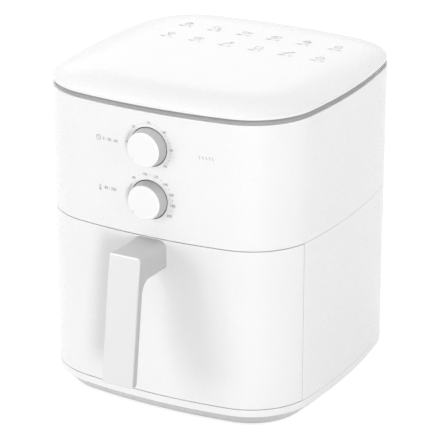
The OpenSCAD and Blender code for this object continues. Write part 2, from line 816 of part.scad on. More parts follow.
// The stack: a bore for the rotor, and a window behind it for the coil on the back limb
limb = 11;
back_limb = 12;
stack_back = stack_l/2 + 10;
module motor_stator() {
  color(grey) translate([0, fan_y, z_stack]) linear_extrude(stack_h) difference() {
    translate([0, (stack_back - stack_l/2)/2]) rounded(stack_w, stack_l/2 + stack_back, 3);
    circle(r = rotor_r + air_gap, $fn = 96);
    translate([limb - stack_w/2, rotor_r/2]) square([stack_w - 2*limb, stack_back - back_limb - rotor_r/2]);
  }
}

coil_l = 26;
coil_t = 5;
module motor_coil() {
  color(copper) translate([-coil_l/2, fan_y + stack_back - back_limb/2, z_stack + stack_h/2])
    rotate([0, 90, 0]) linear_extrude(coil_l) difference() {
      rounded(stack_h + 2*coil_t, back_limb + 2*coil_t, coil_t);
      square([stack_h, back_limb], center = true);
    }
}

bearing_r = 6;
bearing_h = 5;
bearing_plate_t = 1.5;
bearing_plate_l = 14;
module motor_bearings() {
  color(steel) translate([0, fan_y, 0]) difference() {
    for (z = [z_stack - bearing_h, z_stack + stack_h]) translate([0, 0, z]) {
      translate([0, 0, z > z_stack ? 0 : bearing_h - bearing_plate_t]) linear_extrude(bearing_plate_t)
        rounded(stack_w - 4, bearing_plate_l, 3);
      cylinder(r = bearing_r, h = bearing_h, $fn = 48);
    }
    translate([0, 0, z_stack - 2*bearing_h])
      cylinder(r = motor_shaft_r + run_gap, h = stack_h + 4*bearing_h, $fn = 48);
    for (x = [-1, 1]) translate([x*post_x, 0, z_stack - bearing_h - 1])
      cylinder(r = post_r + fit_gap, h = bearing_h + 1, $fn = 32);
  }
}

module motor_rotor() {
  color(grey) translate([0, fan_y, z_stack + 0.5]) difference() {
    cylinder(r = rotor_r, h = stack_h - 1, $fn = 96);
    translate([0, 0, -1]) cylinder(r = motor_shaft_r, h = stack_h + 2, $fn = 48);
  }
}

z_fan_disc = z_roof_top + dome_h - sheet - 7;
nut_h = 5;
shaft_below = 3;
shaft_above = 3;
module motor_shaft() {
  z0 = z_fan_disc - nut_h - shaft_below;
  color(steel) translate([0, fan_y, z0])
    cylinder(r = motor_shaft_r, h = z_stack + stack_h + bearing_h + shaft_above - z0, $fn = 48);
}

// Pressed disc with upright blades that lean back from the turn
module hot_air_fan() {
  color(steel) translate([0, fan_y, z_fan_disc]) difference() {
    union() {
      cylinder(r = fan_r, h = sheet, $fn = 128);
      cylinder(r = 9, h = 4, $fn = 48);
      for (i = [0:blade_n - 1]) rotate(360*i/blade_n) translate([fan_r*0.42, 0, -blade_h]) rotate(18)
        block([0, 0, 0], [fan_r*0.52, sheet, blade_h]);
    }
    translate([0, 0, -1]) cylinder(r = motor_shaft_r, h = 8, $fn = 48);
    for (i = [0:blade_n - 1]) rotate(360*(i + 0.5)/blade_n) translate([fan_r*0.68, 0, -1])
      cylinder(r = 4.5, h = 4, $fn = 32);
  }
}

module cooling_fan() {
  hub_r = 12;
  color(dark) translate([0, fan_y, z_cool]) difference() {
    union() {
      cylinder(r = hub_r, h = cool_h, $fn = 64);
      for (i = [0:8]) rotate(40*i) translate([hub_r - 1, 0, cool_h/2]) rotate([38, 0, 0])
        translate([0, -0.8, -cool_h/2]) cube([cool_r - hub_r, 1.6, cool_h]);
    }
    translate([0, 0, -1]) cylinder(r = motor_shaft_r, h = cool_h + 2, $fn = 48);
  }
}

module fan_nut() {
  color(brass) translate([0, fan_y, z_fan_disc - nut_h]) difference() {
    cylinder(r = 5.2, h = nut_h, $fn = 6);
    translate([0, 0, -1]) cylinder(r = motor_shaft_r, h = nut_h + 2, $fn = 48);
  }
}

// ---------------------------------------------------------------- rear and wiring

vent_frame = 4;
module rear_vent() {
  inner_w = vent_w - 2*vent_frame;
  inner_h = vent_h - 2*vent_frame;
  slat_pitch = inner_h/slat_n;
  color(white) translate([0, 0, vent_z]) {
    difference() {
      union() {
        intersection() {
          plate_y(vent_w, vent_h, 8, 0.8*half, y_max);
          translate([0, 0, -vent_z]) difference() {
            before(2*half);
            slab(0, z_lid, wall + 2);
          }
        }
        intersection() {
          plate_y(vent_w + 12, vent_h + 12, 8, 0.8*half, y_max);
          translate([0, 0, -vent_z]) hoop(z_seam, z_groove, wall, 2);
        }
      }
      plate_y(inner_w, inner_h, 5, 0.7*half, y_max + 1);
    }
    for (i = [0:slat_n - 1]) translate([0, y_max - 5.5, (i + 0.5)*slat_pitch - inner_h/2])
      rotate([-40, 0, 0]) cube([inner_w + 2, 8.4, 1.4], center = true);
    for (x = [-1, 1]) translate([x*inner_w/6, y_max - 6.5, 0]) cube([1.8, 8, inner_h + 2], center = true);
  }
}

module exhaust_duct() {
  w = vent_w - 2*vent_frame + 2*sheet;
  h = vent_h - 2*vent_frame + 2*sheet;
  color(steel) intersection() {
    translate([0, 0, vent_z]) difference() {
      plate_y(w, h, 5 + sheet, y_chamber_back + 4, half);
      plate_y(w - 2*sheet, h - 2*sheet, 5, y_chamber_back, half + 1);
    }
    slab(z_seam, z_groove, wall + 2);
  }
}

// A clamping gland: outer collar, threaded body and inner nut
module cord_gland() {
  collar_r = gland_r + 3;
  color(dark) translate([0, 0, gland_z]) difference() {
    union() {
      rod_y(gland_r - fit_gap, half - wall - 5, half + 2);
      translate([0, half, 0]) rotate([-90, 0, 0]) rotate_extrude($fn = 64) polygon([[0, 0], [collar_r, 0],
        [collar_r, 2], [collar_r - 1, 3], [gland_r - 1.5, 3.5], [gland_r - 2, 8], [0, 8]]);
      translate([0, half - wall - 5, 0]) rotate([-90, 0, 0]) cylinder(r = collar_r, h = 4.9, $fn = 6);
    }
    rod_y(cord_r, half - wall - 10, half + 10);
  }
}

module interlock_switch() {
  color(dark) difference() {
    block([switch_x - switch_half_w, y_bulkhead_back, switch_z - switch_h/2],
      [switch_x + switch_half_w, y_bulkhead_back + switch_l, switch_z + switch_h/2]);
    translate([switch_x, 0, switch_z])
      rod_y(plunger_r + slide_gap, y_bulkhead_back - 1, y_bulkhead_back + plunger_in + plunger_travel);
    for (y = [0.3, 0.75]) translate([switch_x, y_bulkhead_back + y*switch_l, switch_z - switch_h/4])
      rotate([0, 90, 0]) cylinder(r = 1.2, h = 3*switch_half_w, center = true, $fn = 24);
  }
}

module switch_plunger() {
  color(brass) translate([switch_x, 0, switch_z])
    rod_y(plunger_r, y_panel_back + slide_gap, y_bulkhead_back + plunger_in, 32);
}

// Three ways, each with a screw hole and an entry for the wires at both sides
way_n = 3;
way_pitch = 12;
way_w = 8;
block_l = 16;
block_h = 12;
block_w = way_n*way_pitch + 4;
wiring_y = cover_front + 42;
module terminal_block() {
  color(white) translate([cover_w/2 - 11 - block_w/2, wiring_y, z_cover]) difference() {
    block([-block_w/2, -block_l/2, 0], [block_w/2, block_l/2, block_h]);
    for (i = [0:way_n - 1]) translate([(i - (way_n - 1)/2)*way_pitch, 0, block_h/3]) {
      cylinder(r = 2.6, h = block_h, $fn = 24);
      translate([-way_w/2, -block_l, 0]) cube([way_w, 2*block_l, block_h/3]);
    }
    for (i = [1:way_n - 1]) translate([(i - way_n/2)*way_pitch, 0, block_h])
      cube([1.6, 2*block_l, block_h], center = true);
  }
}

fuse_w = 34;
fuse_l = 16;
module thermal_fuse() {
  color(steel) translate([20 + fuse_w/2 - cover_w/2, wiring_y, z_cover]) {
    difference() {
      linear_extrude(1) rounded(fuse_w, fuse_l, 4);
      for (x = [-1, 1]) translate([x*(fuse_w/2 - 5), 0, -1]) cylinder(r = 1.6, h = 3, $fn = 24);
    }
    translate([0, 0, 1]) cylinder(r = 7, h = 8, $fn = 48);
    for (x = [-1, 1]) translate([x*4, 0, 12]) cube([0.8, 5, 8], center = true);
  }
}

// ---------------------------------------------------------------- drawer

pad_w = neck_w + 6;
pad_t = 3;
neck_mid_z = (z_neck + z_under)/2;
handle_screw_pitch = 16;
module drawer_front() {
  z0 = z_drawer + half_gap;
  z1 = z_seam - half_gap;
  color(white) difference() {
    union() {
      intersection() {
        difference() {
          slab(z0, z1, 0);
          slab(z0 + wall, z1 - wall, wall);
        }
        before(y_split - half_gap);
      }
      translate([0, 0, neck_mid_z])
        plate_y(pad_w, neck_h, 4, y_front + wall/2, y_front + wall + pad_t);
    }
    translate([0, 0, neck_mid_z])
      plate_y(neck_w + 2*fit_gap, neck_h + 2*fit_gap, neck_round + fit_gap, y_front - 1, y_neck);
    for (x = [-1, 1]) translate([x*handle_screw_pitch/2, 0, neck_mid_z])
      rod_y(screw_r + 0.1, y_front - 1, y_front + wall + pad_t + 1, 24);
  }
}

module drawer_back_panel() {
  z0 = z_drawer + half_gap + wall + fit_gap;
  z1 = z_seam - half_gap - wall - fit_gap;
  color(white) difference() {
    intersection() {
      slab(z0, z1, wall + fit_gap);
      block([-half, y_panel, z0], [half, y_panel_back, z1]);
    }
    pan_screw_places() rod_y(screw_r + 0.1, y_panel - 1, y_panel_back + 1, 24);
  }
}

pan_screw_x = 62;
pan_screw_up = [36, 84];
module pan_screw_places() {
  for (x = [-1, 1], z = pan_screw_up) translate([x*pan_screw_x, 0, z_pan + z]) children();
}

pan_arc_steps = 7;
module pan() {
  rim_out = rim_w;
  floor_steps = [for (i = [0:4]) 90*i/4];
  function pan_ring(out, z) =
    [for (p = round_rect(pan_w + 2*out, pan_len + 2*out, pan_r + out, pan_arc_steps)) [p.x, p.y, z]];
  outer = [for (a = floor_steps) pan_ring(-pan_floor_r*(1 - sin(a)), z_pan + pan_floor_r*(1 - cos(a)))];
  r = pan_floor_r - sheet;
  inner = [for (a = [90:-22.5:0]) pan_ring(-sheet - r*(1 - sin(a)), z_pan + sheet + r*(1 - cos(a)))];
  rim = [pan_ring(0, z_rim - sheet), pan_ring(rim_out, z_rim - sheet), pan_ring(rim_out, z_rim),
    pan_ring(-sheet, z_rim)];
  color(dark) difference() {
    translate([0, fan_y, 0]) loft(concat(outer, rim, inner));
    block([-pan_w, y_panel_back - 2*rim_w, z_rim - 2*rim_w], [pan_w, y_panel_back, z_rim + 1]);
    pan_screw_places() rod_y(screw_r + 0.1, y_panel_back - 1, y_panel_back + 2*sheet, 24);
  }
}

module pan_screws() {
  color(steel) pan_screw_places() translate([0, y_panel, 0]) rotate([90, 0, 0])
    screw(screw_r, panel_t + sheet + 1);
}

bracket_sheet = 1.5;
module handle_bracket() {
  w = neck_w;
  y0 = y_front + wall + pad_t;
  z0 = neck_mid_z - neck_h/2 + 3;
  z1 = neck_mid_z + neck_h/2 - 5;
  color(steel) difference() {
    translate([-w/2, 0, 0]) {
      block([0, y0, z0], [w, y0 + bracket_sheet, z1]);
      block([0, y0, z1 - bracket_sheet], [w, y_panel, z1]);
      block([0, y_panel - bracket_sheet, z0 - 14], [w, y_panel, z1]);
    }
    for (x = [-1, 1]) translate([x*handle_screw_pitch/2, 0, neck_mid_z])
      rod_y(screw_r + 0.1, y0 - 1, y0 + bracket_sheet + 1, 24);
  }
}

// One section of the handle: u runs along X, v from the handle's inside to its outside.
// Clockwise from the inside left, between v0 and v1, with an arc at each round corner.
section_steps = 5;
function half_section(w, v0, v1, r0, r1) = concat(
  r0 > 0 ? arc(-w/2 + r0, v0 + r0, r0, 270, 180, section_steps) : [[-w/2, v0]],
  r1 > 0 ? arc(-w/2 + r1, v1 - r1, r1, 180, 90, section_steps) : [[-w/2, v1]],
  r1 > 0 ? arc(w/2 - r1, v1 - r1, r1, 90, 0, section_steps) : [[w/2, v1]],
  r0 > 0 ? arc(w/2 - r0, v0 + r0, r0, 0, -90, section_steps) : [[w/2, v0]]);

// A station is [y, z of the inside, turn of the section, thickness, width, back r, front r, inset].
// The sections of the rounded lower end, from its tip (t = 0) to the full section (t = 90)
function station_end(t) = let (along = end_round*cos(t), s = sin(handle_lean), c = cos(handle_lean))
  [grip_y + grip_t*c - along*s, grip_z - grip_t*s - along*c, handle_lean, grip_t, grip_w,
    grip_back_r, grip_front_r, end_round*(1 - sin(t))];

// The angle of the bend's outer corner, where the grip's face meets the neck's top
corner_a = atan2((neck_h + bend_r)*cos(handle_lean),
  bend_r + grip_t - (neck_h + bend_r)*sin(handle_lean));
corner_t = (corner_a - handle_lean)/(90 - handle_lean);

// The sections that turn about the bend's centre, from the grip (t = 0) to the neck (t = 1)
function station_bend(t) = let (
    a = blend(handle_lean, 90, t),
    reach = soft_min((bend_r + grip_t)/cos(min(a - handle_lean, 84)),
      (neck_h + bend_r)/sin(a), corner_soft),
    past = max((t - corner_t)/(1 - corner_t), 0),
    w = blend(grip_w, neck_w, past*past*(3 - 2*past)),
    front_r = blend(grip_front_r, neck_round, pow(t, 3)))
  [bend_y - bend_r*cos(a), bend_z + bend_r*sin(a), a, reach - bend_r, w, grip_back_r, front_r, 0];

function station_neck(t) =
  [blend(bend_y, y_neck, t), z_under, 90, neck_h, neck_w, neck_round, neck_round, 0];

// Where the bend's section meets the grip's face at a distance from the outer corner
function face_t(d) =
  atan(tan(corner_a - handle_lean) - d/(bend_r + grip_t))/(90 - handle_lean);

// The cover lies on the grip up to the bend's outer corner. There the neck begins, and it
// has the full section.
bend_steps = 12;
end_steps = 4;
cover_end_gap = 0.003;
corner_span = 0.05;
corner_near = [3, 1.5, 0.7, 0.3, 0];
edge_r = 0.4;
low_ts = [for (i = [0:bend_steps - 1]) face_t(corner_near[0])*i/bend_steps];
high_ts = [for (i = [1:bend_steps]) blend(corner_t + corner_span, 1, i/bend_steps)];
near_ts = [for (k = [cover_end_gap, corner_span/5, corner_span/2, corner_span]) corner_t + k];
grip_stations = concat([for (i = [0:end_steps]) station_end(90*i/end_steps)],
  [for (t = low_ts) station_bend(t)], [for (d = corner_near) station_bend(face_t(d))]);
neck_stations = concat([for (t = concat(near_ts, high_ts)) station_bend(t)],
  [station_neck(0.5), station_neck(1)]);

function placed(s, uv) = [for (p = uv) [p.x, s[0] - p.y*cos(s[2]), s[1] + p.y*sin(s[2])]];
function cover_t(s) = s[6] + cover_extra;
function back_ring(s) = placed(s, half_section(s[4] - 2*s[7], s[7], s[3] - cover_t(s),
  max(s[5] - s[7], 0.5), edge_r));
function grip_ring(s) = placed(s, half_section(s[4] - 2*s[7], s[3] - cover_t(s), s[3] - s[7],
  0, max(s[6] - s[7], 0.5)));
function neck_ring(s) = placed(s, half_section(s[4], 0, s[3], s[5], s[6]));

module handle_screw_holes() {
  for (x = [-1, 1]) translate([x*handle_screw_pitch/2, 0, neck_mid_z])
    rod_y(screw_r + 0.1, y_neck - 14, y_neck + 1, 24);
}

module handle_grip() {
  color(white) loft([for (s = grip_stations) grip_ring(s)]);
}

module handle_back() {
  color(white) difference() {
    loft(concat([for (s = grip_stations) back_ring(s)], [for (s = neck_stations) neck_ring(s)]));
    handle_screw_holes();
  }
}

module handle_screws() {
  y = y_front + wall + pad_t + bracket_sheet;
  color(steel) for (x = [-1, 1]) translate([x*handle_screw_pitch/2, y, neck_mid_z]) rotate([-90, 0, 0])
    screw(screw_r, y - y_neck + 12);
}

// ---------------------------------------------------------------- crisper plate

tray_gap = 2.5;
tray_corner = 3;
tray_w = pan_w - 2*sheet - 2*tray_gap;
tray_l = pan_len - 2*sheet - 2*tray_gap;
tray_r = pan_r - sheet - tray_gap + tray_corner;
skirt_h = 5;
grip_hole_r = 12;
leg_x = tray_w/2 - tray_r;
leg_y = tray_l/2 - tray_r;
leg_r = 6;
leg_hole_r = 3;
module crisper_plate() {
  nx = floor((tray_w/2 - 14)/hole_pitch);
  ny = floor((tray_l/2 - 14)/(hole_pitch*0.866));
  color(dark) translate([0, fan_y, z_tray]) difference() {
    linear_extrude(tray_t + skirt_h) rounded(tray_w, tray_l, tray_r);
    translate([0, 0, tray_t]) linear_extrude(skirt_h + 1)
      rounded(tray_w - 2*tray_t, tray_l - 2*tray_t, tray_r - tray_t);
    for (j = [-ny:ny], i = [-nx:nx]) {
      x = (i + (abs(j)%2)/2)*hole_pitch;
      y = j*hole_pitch*0.866;
      if (norm([x, y]) > grip_hole_r + hole_r + 2 && abs(x) < tray_w/2 - 12
          && norm([max(abs(x) - leg_x, 0), max(abs(y) - leg_y, 0)]) < tray_r - 9
          && norm([abs(x) - leg_x, abs(y) - leg_y]) > leg_r + hole_r)
        translate([x, y, -1]) cylinder(r = hole_r, h = tray_t + 2, $fn = 24);
    }
    translate([0, 0, -1]) cylinder(r = grip_hole_r, h = tray_t + 2, $fn = 64);
    for (x = [-1, 1], y = [-1, 1]) translate([x*leg_x, y*leg_y, -1])
      cylinder(r = leg_hole_r, h = tray_t + 2, $fn = 48);
  }
}

module tray_bumpers() {
  color(grey) translate([0, fan_y, z_tray]) for (x = [-1, 1], y = [-1, 1]) translate([x*leg_x, y*leg_y, 0])
    rotate_extrude($fn = 48) polygon([[0, slide_gap - tray_up], [leg_r - 2, slide_gap - tray_up],
      [leg_r - 1, slide_gap - tray_up + 1], [leg_r, 0], [leg_hole_r, 0], [leg_hole_r, tray_t],
      [leg_r - 1, tray_t], [leg_r - 2, tray_t + 1.5], [0, tray_t + 1.5]]);
}

translate([0, shift_y, 0]) {
  top_cover();
  top_trim_ring();
  upper_housing();
  lower_housing();
  front_bulkhead();
  base();
  rubber_feet();
  housing_screws();
  control_bracket();
  timer_unit();
  timer_bell();
  thermostat_unit();
  thermostat_bulb();
  chamber();
  drawer_rails();
  reflector();
  insulation_cover();
  heater_element();
  heater_guard();
  motor_bracket();
  motor_stator();
  motor_coil();
  motor_bearings();
  terminal_block();
  thermal_fuse();
  rear_vent();
  exhaust_duct();
  cord_gland();
  interlock_switch();
  drawer_front();
  drawer_back_panel();
  pan();
  pan_screws();
  handle_bracket();
  handle_grip();
  handle_back();
  handle_screws();
  crisper_plate();
  tray_bumpers();
  motor_rotor();
  motor_shaft();
  hot_air_fan();
  cooling_fan();
  fan_nut();
  timer_knob();
  timer_shaft();
  thermostat_knob();
  thermostat_shaft();
  switch_plunger();
}
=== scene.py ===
"""The looks of a countertop air fryer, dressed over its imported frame. Metres throughout."""
import json
import math

import bmesh
import bpy
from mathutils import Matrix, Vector
from mathutils.bvhtree import BVHTree


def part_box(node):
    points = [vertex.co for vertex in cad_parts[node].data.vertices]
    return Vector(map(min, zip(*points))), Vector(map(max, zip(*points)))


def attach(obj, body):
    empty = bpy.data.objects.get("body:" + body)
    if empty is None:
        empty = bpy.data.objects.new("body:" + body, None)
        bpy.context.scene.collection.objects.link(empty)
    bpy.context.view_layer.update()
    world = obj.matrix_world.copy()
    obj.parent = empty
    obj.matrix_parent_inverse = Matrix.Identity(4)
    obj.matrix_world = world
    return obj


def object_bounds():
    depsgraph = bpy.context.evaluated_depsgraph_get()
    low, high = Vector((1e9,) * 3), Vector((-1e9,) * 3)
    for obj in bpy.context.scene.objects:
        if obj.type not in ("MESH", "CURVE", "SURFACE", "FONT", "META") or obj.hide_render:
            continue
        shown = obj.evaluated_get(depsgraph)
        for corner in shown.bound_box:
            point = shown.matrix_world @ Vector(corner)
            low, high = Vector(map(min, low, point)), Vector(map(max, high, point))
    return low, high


MM = 0.001

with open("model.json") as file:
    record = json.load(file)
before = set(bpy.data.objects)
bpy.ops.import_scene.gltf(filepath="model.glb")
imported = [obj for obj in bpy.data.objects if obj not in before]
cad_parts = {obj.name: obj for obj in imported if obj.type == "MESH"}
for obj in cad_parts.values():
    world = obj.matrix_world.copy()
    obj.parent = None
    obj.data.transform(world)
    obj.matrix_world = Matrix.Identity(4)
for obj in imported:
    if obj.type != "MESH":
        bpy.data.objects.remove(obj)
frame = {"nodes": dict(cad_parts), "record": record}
cad_lo, cad_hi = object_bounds()
nodes = frame["nodes"]
scene = bpy.context.scene

# ------------------------------------------------------------------ places from the frame

# The body's middle lies behind the frame's, as the handle stands out in front.
BODY_MID_Y = 25 * MM
TIMER_LO, TIMER_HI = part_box("timer_knob")
THERMO_LO, THERMO_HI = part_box("thermostat_knob")
TIMER_Z = (TIMER_LO.z + TIMER_HI.z) / 2
THERMO_Z = (THERMO_LO.z + THERMO_HI.z) / 2
KNOB_FACE_Y = TIMER_LO.y
KNOB_R = (TIMER_HI.x - TIMER_LO.x) / 2 / MM

# ------------------------------------------------------------------ camera

AZIMUTH = math.radians(28.4)
ELEVATION = math.radians(21.965)
DISTANCE = 2.1876
TARGET = Vector((0, BODY_MID_Y, 0.146))
SENSOR_MM = 36
LENS_MM = 186.42
LENS_SHIFT = (-0.0043, 0.0065)
CLIP = (0.05, 60)


def make_camera():
    back = Vector((
        math.sin(AZIMUTH) * math.cos(ELEVATION),
        -math.cos(AZIMUTH) * math.cos(ELEVATION),
        math.sin(ELEVATION),
    ))
    data = bpy.data.cameras.new("camera")
    data.sensor_width = SENSOR_MM
    data.lens = LENS_MM
    data.shift_x, data.shift_y = LENS_SHIFT
    data.clip_start, data.clip_end = CLIP
    cam = bpy.data.objects.new("camera", data)
    cam.location = TARGET + back * DISTANCE
    cam.rotation_mode = "QUATERNION"
    cam.rotation_quaternion = (-back).to_track_quat("-Z", "Y")
    scene.collection.objects.link(cam)
    scene.camera = cam


# ------------------------------------------------------------------ studio


def area_light(name, place, aim, size, watts):
    data = bpy.data.lights.new(name, "AREA")
    data.shape = "RECTANGLE"
    data.size, data.size_y = size
    data.energy = watts
    light = bpy.data.objects.new(name, data)
    light.location = place
    light.rotation_mode = "QUATERNION"
    light.rotation_quaternion = (Vector(aim) - Vector(place)).to_track_quat("-Z", "Y")
    light.visible_camera = False
    scene.collection.objects.link(light)


def seen_directly(tree):
    """1 for a camera, mirror or glass ray, and 0 for the rays that light the object."""
    path = tree.nodes.new("ShaderNodeLightPath")
    total = path.outputs["Is Camera Ray"]
    for ray in ("Is Glossy Ray", "Is Transmission Ray"):
        add = tree.nodes.new("ShaderNodeMath")
        add.operation = "MAXIMUM"
        tree.links.new(total, add.inputs[0])
        tree.links.new(path.outputs[ray], add.inputs[1])
        total = add.outputs[0]
    return total


WORLD_LIGHT = 0.269


def make_world():
    world = bpy.data.worlds.new("studio")
    world.use_nodes = True
    scene.world = world
    tree = world.node_tree
    tree.nodes.clear()
    out = tree.nodes.new("ShaderNodeOutputWorld")
    mix = tree.nodes.new("ShaderNodeMixShader")
    light = tree.nodes.new("ShaderNodeBackground")
    shown = tree.nodes.new("ShaderNodeBackground")
    light.inputs["Color"].default_value = (1, 1, 1, 1)
    light.inputs["Strength"].default_value = WORLD_LIGHT
    shown.inputs["Color"].default_value = (1, 1, 1, 1)
    shown.inputs["Strength"].default_value = 1
    tree.links.new(seen_directly(tree), mix.inputs["Fac"])
    tree.links.new(light.outputs[0], mix.inputs[1])
    tree.links.new(shown.outputs[0], mix.inputs[2])
    tree.links.new(mix.outputs[0], out.inputs["Surface"])


FLOOR_SIZE = 30
FLOOR_TONE = 0.58
FLOOR_GLOW = 0.78


def make_floor():
    mesh = bpy.data.meshes.new("floor")
    h = FLOOR_SIZE / 2
    mesh.from_pydata([(-h, -h, 0), (h, -h, 0), (h, h, 0), (-h, h, 0)], [], [(0, 1, 2, 3)])
    floor = bpy.data.objects.new("floor", mesh)
    scene.collection.objects.link(floor)
    mat = bpy.data.materials.new("floor_white")
    mat.use_nodes = True
    tree = mat.node_tree
    tree.nodes.clear()
    out = tree.nodes.new("ShaderNodeOutputMaterial")
    add = tree.nodes.new("ShaderNodeAddShader")
    diffuse = tree.nodes.new("ShaderNodeBsdfDiffuse")
    glow = tree.nodes.new("ShaderNodeEmission")
    gain = tree.nodes.new("ShaderNodeMath")
    gain.operation = "MULTIPLY"
    gain.inputs[1].default_value = FLOOR_GLOW
    diffuse.inputs["Color"].default_value = (FLOOR_TONE, FLOOR_TONE, FLOOR_TONE, 1)
    tree.links.new(seen_directly(tree), gain.inputs[0])
    tree.links.new(gain.outputs[0], glow.inputs["Strength"])
    tree.links.new(diffuse.outputs[0], add.inputs[0])
    tree.links.new(glow.outputs[0], add.inputs[1])
    tree.links.new(add.outputs[0], out.inputs["Surface"])
    mesh.materials.append(mat)


LIGHT_AIM = Vector((0, 0, 0.16))


def softbox(name, azimuth, elevation, distance, size, watts):
    """A lamp placed about LIGHT_AIM: degrees round from the front, degrees up, metres away."""
    turn, rise = math.radians(azimuth), math.radians(elevation)
    place = LIGHT_AIM + distance * Vector((
        math.sin(turn) * math.cos(rise), -math.cos(turn) * math.cos(rise), math.sin(rise)))
    area_light(name, place, LIGHT_AIM, size, watts)


def make_lights():
    softbox("left_key", -34, 2, 2.25, (0.5, 0.7), 5.4)
    softbox("left_key_wide", -48, 0, 2.25, (0.5, 0.5), 7.3)
    softbox("left_key_high", -40, 18, 2.3, (0.6, 0.6), 7.2)
    softbox("right_key", 36, 3, 2.2, (0.35, 0.8), 19.8)
    softbox("side_fill", 75, 18, 2.3, (0.9, 1.4), 14.3)
    softbox("rim_right", 168, 5, 2.4, (0.5, 1.2), 17.8)
    softbox("lid_gloss", -152, 22, 2.4, (1.5, 0.6), 2.2)
    softbox("overhead", 0, 86, 2.4, (2.0, 1.6), 15.8)
    softbox("left_high", -90, 55, 2.4, (1.2, 1.6), 21.5)


# ------------------------------------------------------------------ materials

PLASTIC_IOR = 1.5
# Textures, in features or cells per metre, and the depths of their relief.
DRIFT_SCALE = 9
WAVE_SCALE = 34
CLOUD_SCALE = 40
SPANGLE_SCALE = 160
FROST_SCALE = 500
PEEL_SCALE = 700
STREAK_SCALE = 900
FLECK_SCALE = 900
WAVE_DEPTH = 0.4 * MM
PEEL_DEPTH = 0.08 * MM
PORE_DEPTH = 0.05 * MM


def grey(level):
    return (level, level, level)


def bsdf_material(name, colour, roughness, metallic=0.0):
    mat = bpy.data.materials.new(name)
    mat.use_nodes = True
    shader = mat.node_tree.nodes["Principled BSDF"]
    shader.inputs["Base Color"].default_value = (*colour, 1)
    shader.inputs["Roughness"].default_value = roughness
    shader.inputs["Metallic"].default_value = metallic
    shader.inputs["IOR"].default_value = PLASTIC_IOR
    return mat, shader


def grain(mat, scale, stretch=(1, 1, 1), detail=3.0):
    """A noise in object space, in features per metre, stretched along an axis."""
    tree = mat.node_tree
    coord = tree.nodes.new("ShaderNodeTexCoord")
    mapping = tree.nodes.new("ShaderNodeMapping")
    mapping.inputs["Scale"].default_value = stretch
    noise = tree.nodes.new("ShaderNodeTexNoise")
    noise.inputs["Scale"].default_value = scale
    noise.inputs["Detail"].default_value = detail
    tree.links.new(coord.outputs["Object"], mapping.inputs["Vector"])
    tree.links.new(mapping.outputs["Vector"], noise.inputs["Vector"])
    return noise.outputs["Fac"]


def cells(mat, scale):
    """Cells in object space, in cells per metre."""
    tree = mat.node_tree
    coord = tree.nodes.new("ShaderNodeTexCoord")
    voronoi = tree.nodes.new("ShaderNodeTexVoronoi")
    voronoi.inputs["Scale"].default_value = scale
    tree.links.new(coord.outputs["Object"], voronoi.inputs["Vector"])
    return voronoi.outputs


def axes(mat):
    """The X, Y and Z of a point in object space."""
    tree = mat.node_tree
    coord = tree.nodes.new("ShaderNodeTexCoord")
    split = tree.nodes.new("ShaderNodeSeparateXYZ")
    tree.links.new(coord.outputs["Object"], split.inputs["Vector"])
    return split.outputs


def remap(mat, value, low, high, from_low=0.3, from_high=0.7):
    """A value spread from low to high. The usual input limits suit a noise, which seldom passes them."""
    tree = mat.node_tree
    node = tree.nodes.new("ShaderNodeMapRange")
    node.inputs["From Min"].default_value = from_low
    node.inputs["From Max"].default_value = from_high
    node.inputs["To Min"].default_value = low
    node.inputs["To Max"].default_value = high
    tree.links.new(value, node.inputs["Value"])
    return node.outputs["Result"]


def tint(mat, value, first, second):
    """A colour between first and second, by value. The first may also be another node's output."""
    tree = mat.node_tree
    mix = tree.nodes.new("ShaderNodeMix")
    mix.data_type = "RGBA"
    if isinstance(first, tuple):
        mix.inputs["A"].default_value = (*first, 1)
    else:
        tree.links.new(first, mix.inputs["A"])
    mix.inputs["B"].default_value = (*second, 1)
    tree.links.new(value, mix.inputs["Factor"])
    return mix.outputs["Result"]


def bump(mat, shader, heights):
    """Stacks bumps: (value, strength, distance in metres) each."""
    tree = mat.node_tree
    last = None
    for value, strength, distance in heights:
        node = tree.nodes.new("ShaderNodeBump")
        node.inputs["Strength"].default_value = strength
        node.inputs["Distance"].default_value = distance
        tree.links.new(value, node.inputs["Height"])
        if last:
            tree.links.new(last, node.inputs["Normal"])
        last = node.outputs["Normal"]
    tree.links.new(last, shader.inputs["Normal"])


def grained(mat, shader, colour, pore, low, high, relief):
    """Puts a colour on the shader, with one fine grain in its gloss and its surface."""
    tree = mat.node_tree
    fine = grain(mat, pore, detail=4)
    tree.links.new(colour, shader.inputs["Base Color"])
    tree.links.new(remap(mat, fine, low, high), shader.inputs["Roughness"])
    bump(mat, shader, [(fine, relief, PORE_DEPTH)])
    return mat


def moulded(name, colour, roughness, pore, relief, drift=0.012):
    """Moulded plastic: a fine mould texture, slow waves in the gloss, and a slight drift in colour."""
    mat, shader = bsdf_material(name, colour, roughness)
    tree = mat.node_tree
    slow = grain(mat, DRIFT_SCALE, detail=2)
    wave = grain(mat, WAVE_SCALE, detail=1)
    fine = grain(mat, pore, detail=4)
    darker = tuple(c * (1 - 2 * drift) for c in colour)
    tree.links.new(tint(mat, remap(mat, slow, 0, 1), darker, colour), shader.inputs["Base Color"])
    tree.links.new(remap(mat, fine, roughness - 0.04, roughness + 0.05), shader.inputs["Roughness"])
    bump(mat, shader, [(wave, 0.06, WAVE_DEPTH), (fine, relief, PORE_DEPTH)])
    return mat


